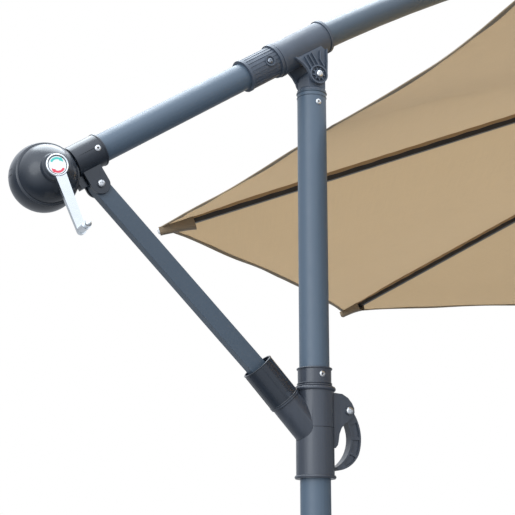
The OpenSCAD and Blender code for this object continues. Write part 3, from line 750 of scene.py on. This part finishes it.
def block(low, high, place):
    """The points and faces of a plain cutting block."""
    xs, ys, zs = zip(low, high)
    corners = ((ys[0], zs[0]), (ys[1], zs[0]), (ys[1], zs[1]), (ys[0], zs[1]))
    return strip([[place @ Vector((x, y, z)) for y, z in corners] for x in xs])


def turned(name, profile, place, body, material, steps=40):
    """A solid turned round the place's Z; the profile is (radius, z) from the axis round to the axis."""
    least_r = 0.00002
    loops = []
    for radius, z in profile:
        r = max(radius, least_r)
        angles = [2 * pi * k / steps for k in range(steps)]
        loops.append([Vector((r * cos(a), r * sin(a), z)) for a in angles])
    verts, faces = strip(loops)
    return piece(name, verts, faces, body, material, radians(32), place)


def pop_rivet(name, place, body):
    """A domed blind rivet with its pulled stem down the middle. Z points out of the wall."""
    dome = [(0.0, -0.004), (0.0023, -0.004), (0.0023, -0.0004), (0.0047, -0.0004), (0.0049, 0.0002),
            (0.0047, 0.0007), (0.0040, 0.0012), (0.0031, 0.0016), (0.0023, 0.0018), (0.0017, 0.0016),
            (0.0015, 0.0010), (0.0015, -0.0002), (0.0, -0.0002)]
    made = turned(name, dome, place, body, LOOKS["bright_steel"])
    stem = [(0.0, -0.0002), (0.0013, -0.0002), (0.0013, 0.0003), (0.0009, 0.0006), (0.0, 0.0006)]
    # The stem is black, as painted shade in the rivet's hollow.
    turned(f"{name}_stem", stem, place, body, LOOKS["rib_black"], 20)
    return made


def cross_screw(name, place, body, radius, material=None):
    """A pan-head screw with a cross recess. Z points out of the part, 0 at the head's seat."""
    head = [(0.0, -0.0006), (radius * 0.96, -0.0006), (radius, 0.0002), (radius * 0.97, 0.0010),
            (radius * 0.86, 0.0018), (radius * 0.66, 0.0024), (radius * 0.4, 0.0028), (0.0, 0.0029)]
    made = turned(name, head, place, body, material or LOOKS["bright_steel"])
    arm, half = radius * 0.6, radius * 0.14
    cutters = [block((-arm, -half, 0.0014), (arm, half, 0.004), place),
               block((-half, -arm, 0.0014), (half, arm, 0.004), place)]
    return carved(made, cutters)


def near_rivets():
    """The pop rivets of the mast's top, the stop collar and the crank's sleeve, on the near side."""
    mast_at = Matrix.Translation((0, -MAST_R - 0.0002, MAST_RIVET_Z)) @ FACING_Y
    collar_at = Matrix.Translation((0, -MAST_R - 0.0028, COLLAR_RIVET_Z)) @ FACING_Y
    sleeve_at = BOOM @ Matrix.Translation((SLEEVE_RIVET_X, -0.0257, BOOM_RISE)) @ FACING_Y
    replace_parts(pop_rivet("rivet_mast", mast_at, "base"), "mast_rivets")
    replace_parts(pop_rivet("rivet_collar", collar_at, "base"), "mast_rivets")
    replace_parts(pop_rivet("rivet_boom", sleeve_at, "boom"), "boom_rivets")


def fittings():
    """Rivets on the near side and cross-head screws on both, over the CAD model's plain heads."""
    near_rivets()
    lever_lo, lever_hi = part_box("lever_bolt")
    lever_mid = (lever_lo + lever_hi) / 2
    for side, tail in ((1, ""), (-1, "_far")):
        turn = Matrix.Identity(4) if side == 1 else Matrix.Rotation(pi, 4, "Z")
        tilt = Matrix.Translation((0, 0, PIVOT_Z)) @ turn
        clevis = Matrix.Translation((-BRACE_BACK, 0, PIVOT_Z - BRACE_DROP)) @ turn
        lever = Matrix.Translation((lever_mid.x, 0, lever_mid.z)) @ turn
        screws = (("screw_tilt", tilt, 0.030, "base", 0.0057),
                  ("screw_clevis", clevis, 0.0166, "boom", 0.0058),
                  ("screw_lever", lever, 0.0172, "slider", 0.0062))
        for name, bolt, out, body, radius in screws:
            cross_screw(f"{name}{tail}", bolt @ Matrix.Translation((0, -out, 0)) @ FACING_Y, body, radius)
    button = BOOM @ Matrix.Translation((-TEE_BACK - 0.0245, -0.0252, BOOM_RISE)) @ FACING_Y
    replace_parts(cross_screw("screw_collar", button, "boom", 0.0050, SHADED_STEEL), "collar_button")


def soft_ring(name, body, place, inner, outer, low, high, slot="grey_plastic", material=None):
    """A moulded bead round a tube, with a rounded outer face."""
    half = (high - low) / 2
    middle = (high + low) / 2
    bulge = min(outer - inner - 0.0004, half)
    loop = [(inner, high)]
    for k in range(9):
        a = pi / 2 - pi * k / 8
        loop.append((outer - bulge + bulge * cos(a), middle + half * sin(a)))
    loop.append((inner, low))
    verts, faces = lathe(loop, 72)
    return piece(name, verts, faces, body, material or LOOKS[slot], radians(50), place)


def beads():
    """The rounded beads that finish the ends of the slider, its cup, its collar and the mast."""
    flat = Matrix.Identity(4)
    for name, body, inner, outer, low, high in (
            ("bead_slider_top", "slider", 0.0294, 0.0334, 1.6190, 1.6256),
            ("bead_slider_low", "slider", 0.0294, 0.0326, 1.4830, 1.4882),
            ("bead_stop_top", "base", 0.0246, 0.0284, 1.6532, 1.6562),
            ("bead_stop_low", "base", 0.0262, 0.0288, 1.6262, 1.6286),
            ("bead_stop_mid", "base", 0.0262, 0.0280, 1.6300, 1.6320)):
        soft_ring(name, body, flat, inner, outer, low, high, material=DRAWN)
    cup = Matrix.Translation(CUP_AT) @ Matrix.Rotation(CUP_SLOPE - pi / 2, 4, "Y")
    for name, inner, outer, low, high in (
            ("bead_cup_mouth", 0.0238, 0.0262, 0.0582, 0.0604),
            ("bead_cup_seam", 0.0246, 0.0266, -0.0076, -0.0050),
            ("bead_branch", 0.0242, 0.0261, -0.0112, -0.0090)):
        soft_ring(name, "slider", cup, inner, outer, low, high)
    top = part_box("mast_tube")[1].z
    soft_ring("bead_mast_top", "base", flat, 0.0238, 0.0254, top - 0.0034, top - 0.0002, "frame_paint")
    soft_ring("bead_mast_low", "base", flat, 0.0238, 0.0248, top - 0.0100, top - 0.0084, "frame_paint")


BALL_R = 0.0529


def crank_dome():
    """The near cover of the crank's ball: a flange, then a smaller dome that rises into the dial's boss."""
    seam = -0.0200
    flange_r = sqrt(BALL_R ** 2 - seam ** 2) - 0.0004
    dome_r, dome_deep, dome_y = 0.0464, 0.0440, -0.0140

    def dome(angle, inset=0.0):
        return (dome_r - inset) * cos(angle), dome_y - (dome_deep - inset) * sin(angle)

    profile = [(0.0425, seam), (flange_r, seam)]
    profile += [(flange_r, seam - 0.0013), (flange_r - 0.0006, seam - 0.0019)]
    profile += [dome(0.195 + 0.855 * k / 26) for k in range(27)]
    profile += [(0.0216, -0.0530), (0.0209, -0.0542), (0.0207, -0.0560), (0.0205, -0.0594), (0.0199, -0.0606),
                (0.0188, -0.0611), (0.0060, -0.0611), (0.0060, -0.0535)]
    profile += [dome(1.35 - 1.155 * k / 16, 0.003) for k in range(17)]
    verts, faces = lathe([(r, -y) for r, y in profile], 96)
    made = piece("crank_dome", verts, faces, "boom", LOOKS["grey_plastic"], radians(32),
                 CRANK @ FACING_Y)
    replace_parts(made, "housing_front")


def dial_rim():
    """A black ring, as painted shade of the groove round the dial, and the raised bright rim."""
    groove = [(0.0134, 0.0682), (0.0144, 0.0682), (0.0144, 0.06885), (0.0134, 0.06885)]
    face_at = ARM @ FACING_Y
    verts, faces = lathe(groove, 64)
    piece("dial_groove_shade", verts, faces, "crank", LOOKS["rib_black"], radians(40), face_at)
    rim = [(0.0144, 0.0680), (0.0170, 0.0680), (0.0172, 0.0688), (0.0166, 0.0697), (0.0156, 0.0701),
           (0.0147, 0.0697), (0.0144, 0.0690)]
    verts, faces = lathe(rim, 64)
    piece("dial_rim", verts, faces, "crank", LOOKS["chrome"], radians(50), face_at)


# ---- cords ----


def tube_along(points, radius, sides=10):
    """A round tube through a list of points that lie in one upright plane along X."""
    rows = []
    for k, p in enumerate(points):
        ahead = points[min(k + 1, len(points) - 1)] - points[max(k - 1, 0)]
        t = ahead.normalized()
        side = t.cross(Vector((0, 1, 0))).normalized()
        up = side.cross(t)
        rows.append([p + radius * (cos(2 * pi * j / sides) * side + sin(2 * pi * j / sides) * up)
                     for j in range(sides)])
    return strip(rows)


def lift_cord():
    """The cord in the boom, and the stretch below it that lengthens with the runner, each with its route."""
    radius = 0.002
    start = BOOM @ Vector((-CRANK_BACK + 0.02, 0, BOOM_RISE))
    bend = BOOM @ Vector((-TEE_BACK, 0, BOOM_RISE))
    points = [start.lerp(bend, k / 12) for k in range(12)]
    span = BOOM_SLOPE - HUB_SLOPE
    slopes = [BOOM_SLOPE - span * k / 24 for k in range(23)]
    points += [Vector((ARC_X - ARC_R * sin(a), 0, ARC_Z + ARC_R * cos(a))) for a in slopes]
    verts, faces = tube_along(points, radius)
    inside = piece("cord_in_boom", verts, faces, "boom", LOOKS["cord"])
    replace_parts(inside, "lift_cord")
    top = HUB @ Vector((0, 0, HUB_DROP - 0.002))
    runner_lo, runner_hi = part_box("runner_hub")
    low = HUB @ Vector((0, 0, (HUB.inverted() @ ((runner_lo + runner_hi) / 2)).z + 0.012))
    drop = [top.lerp(low, k / 24) for k in range(25)]
    verts, faces = tube_along(drop, radius)
    hanging = piece("cord_drop", verts, faces, None, LOOKS["cord"])
    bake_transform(hanging)
    return inside, points, hanging, drop


# ---- CAD nodes ----

# Edge radius of the CAD nodes whose edges are softened
BEVELS = {
    "cross_beams": 0.0015, "beam_end_caps": 0.003, "ballast_slabs": 0.006, "mast_socket": 0.001,
    "brace_strut": 0.0016, "crank_arm": 0.0012, "tee_bracket": 0.0004, "release_lever": 0.0012,
    "slider_body": 0.0008, "slider_skirt": 0.0006, "branch_cup": 0.0004, "fluted_collar": 0.0003,
    "stop_collar": 0.0005, "housing_rear": 0.0006, "housing_sleeve": 0.0008,
    "hub_bracket": 0.0012, "crown_hub": 0.0008, "runner_hub": 0.0008, "mast_head": 0.0006,
    "lever_bolt": 0.0005, "clevis_bolt": 0.0005, "pivot_bolt": 0.0004, "crank_grip": 0.0006,
}
for i in range(1, RIBS + 1):
    BEVELS[f"rib_{i}"] = 0.0012
    BEVELS[f"stretcher_{i}"] = 0.0010

# Nodes whose finish differs from the plain look of their slot
SHELL_LOOKS = {
    "tee_bracket": SATIN, "fluted_collar": SATIN, "mast_head": SATIN,
    "stop_collar": DRAWN, "slider_body": DRAWN, "slider_skirt": DRAWN, "release_lever": DRAWN,
    "strut_pin": LOOKS["grey_plastic"],
}


def round_edges(node, width):
    """Softens a CAD node's edges; its own vertices stay as they are."""
    weld = node.modifiers.new("weld", "WELD")
    weld.merge_threshold = 0.00001
    bevel = node.modifiers.new("soft_edges", "BEVEL")
    bevel.width = width
    bevel.segments = 2
    bevel.limit_method = "ANGLE"
    bevel.angle_limit = radians(38)
    bevel.use_clamp_overlap = True
    shading = node.modifiers.new("shading", "WEIGHTED_NORMAL")
    shading.keep_sharp = False
    shading.weight = 80


def dress_cad():
    """Gives every CAD node its finish, and softens the edges of those in BEVELS."""
    for name, node in NODES.items():
        for slot in node.material_slots:
            kind = slot.material.name.split(".")[0]
            slot.material = LOOKS[kind]
        if name in BEVELS:
            round_edges(node, BEVELS[name])
    for name, look in SHELL_LOOKS.items():
        for slot in NODES[name].material_slots:
            slot.material = look


# ---- studio ----

LENS = 94.4
CAMERA_AT = (-0.975, -1.878, 1.310)
CAMERA_TURN = (radians(104), 0, radians(-25))
FLOOR_SIZE = 14.0
FLOOR_Z = -0.0005


def camera():
    """The camera stands on the near side, towards the crank, and looks up at the mast below the hinge."""
    data = bpy.data.cameras.new("camera")
    data.sensor_width = 36.0
    data.lens = LENS
    data.clip_end = 60
    data.clip_start = 0.02
    made = bpy.data.objects.new("camera", data)
    made.location = CAMERA_AT
    made.rotation_euler = CAMERA_TURN
    bpy.context.scene.collection.objects.link(made)
    bpy.context.scene.camera = made


def area_light(name, place, target, size, power, tint):
    """A round soft light at a place, aimed at a target."""
    data = bpy.data.lights.new(name, "AREA")
    data.shape = "DISK"
    data.size = size
    data.energy = power
    data.color = tint
    made = bpy.data.objects.new(name, data)
    made.location = place
    made.rotation_euler = (Vector(target) - Vector(place)).to_track_quat("-Z", "Y").to_euler()
    bpy.context.scene.collection.objects.link(made)


def studio_floor():
    """A pale floor just under the ground plane. Only the camera sees it: it bounces no light, casts no shade."""
    size, cells = FLOOR_SIZE, 8
    points = [(x * size / cells - size / 2 + 1.0, y * size / cells - size / 2, FLOOR_Z)
              for x in range(cells + 1) for y in range(cells + 1)]
    row = cells + 1
    faces = [(x * row + y, (x + 1) * row + y, (x + 1) * row + y + 1, x * row + y + 1)
             for x in range(cells) for y in range(cells)]
    mesh = bpy.data.meshes.new("studio_floor")
    mesh.from_pydata(points, [], faces)
    made = bpy.data.objects.new("studio_floor", mesh)
    paint = Paint("pale_floor", (0.80, 0.80, 0.79), 0.55)
    paint.colour(paint.mixed(paint.noise(1.5, 4.0), (0.79, 0.79, 0.78), (0.82, 0.82, 0.81)))
    mesh.materials.append(paint.material)
    bpy.context.scene.collection.objects.link(made)
    made.visible_diffuse = False
    made.visible_glossy = False
    made.visible_shadow = False


# Soft light in the world: where it comes from, the cosines where it starts and is full, and its strength
SOFT_SKY = (
    ((0, 0, 1), -0.1, 0.9, 1.8),
    ((-0.85, -0.50, 0.15), 0.35, 1.0, 1.0),
    ((-0.35, -0.93, 0.0), 0.1, 1.0, 0.6),
    ((0.65, -0.75, 0.10), 0.3, 1.0, 0.3),
    ((0.1, 0.9, -0.45), 0.2, 1.0, 0.6),
)
SKY_TINT = (0.77, 0.81, 0.87, 1)
SKY_EVEN = 0.10


def sky_glow(tree):
    """The soft sky's strength in each direction: an even part and the terms of SOFT_SKY."""
    way = tree.nodes.new("ShaderNodeTexCoord")
    glow = None
    for towards, start, end, power in SOFT_SKY:
        dot = tree.nodes.new("ShaderNodeVectorMath")
        dot.operation = "DOT_PRODUCT"
        dot.inputs[1].default_value = Vector(towards).normalized()
        tree.links.new(way.outputs["Generated"], dot.inputs[0])
        ramp = tree.nodes.new("ShaderNodeMapRange")
        ramp.interpolation_type = "SMOOTHSTEP"
        for key, number in (("From Min", start), ("From Max", end), ("To Min", 0.0), ("To Max", power)):
            ramp.inputs[key].default_value = number
        tree.links.new(dot.outputs["Value"], ramp.inputs["Value"])
        total = tree.nodes.new("ShaderNodeMath")
        total.operation = "ADD"
        total.inputs[1].default_value = SKY_EVEN
        tree.links.new(ramp.outputs["Result"], total.inputs[0])
        if glow is not None:
            tree.links.new(glow, total.inputs[1])
        glow = total.outputs[0]
    return glow


def world():
    """White to the camera; as light, a soft sky from above, the crank's side, the front and low behind."""
    made = bpy.data.worlds.new("studio")
    bpy.context.scene.world = made
    made.use_nodes = True
    tree = made.node_tree
    tree.nodes.clear()
    out = tree.nodes.new("ShaderNodeOutputWorld")
    seen = tree.nodes.new("ShaderNodeBackground")
    seen.inputs["Color"].default_value = (1, 1, 1, 1)
    seen.inputs["Strength"].default_value = 1.0
    lit = tree.nodes.new("ShaderNodeBackground")
    lit.inputs["Color"].default_value = SKY_TINT
    tree.links.new(sky_glow(tree), lit.inputs["Strength"])
    path = tree.nodes.new("ShaderNodeLightPath")
    mix = tree.nodes.new("ShaderNodeMixShader")
    tree.links.new(path.outputs["Is Camera Ray"], mix.inputs["Fac"])
    tree.links.new(lit.outputs["Background"], mix.inputs[1])
    tree.links.new(seen.outputs["Background"], mix.inputs[2])
    tree.links.new(mix.outputs["Shader"], out.inputs["Surface"])


def studio():
    """The camera, the floor and all the light."""
    bpy.context.scene.view_settings.view_transform = "Standard"
    camera()
    studio_floor()
    world()
    area_light("top_light", (0.3, 1.0, 5.2), (0.7, 0.3, 2.0), 3.6, 165, (0.86, 0.94, 1.0))
    area_light("side_light", (-3.6, -2.2, 2.6), (0.0, 0.0, 1.9), 3.2, 45, (0.93, 0.97, 1.0))


studio()
inside, inside_path, hanging, drop_path = lift_cord()
dress_cad()
for i in range(1, RIBS + 1):
    canopy(i)
dial_marks()
dial_rim()
crank_dome()
fittings()
beads()
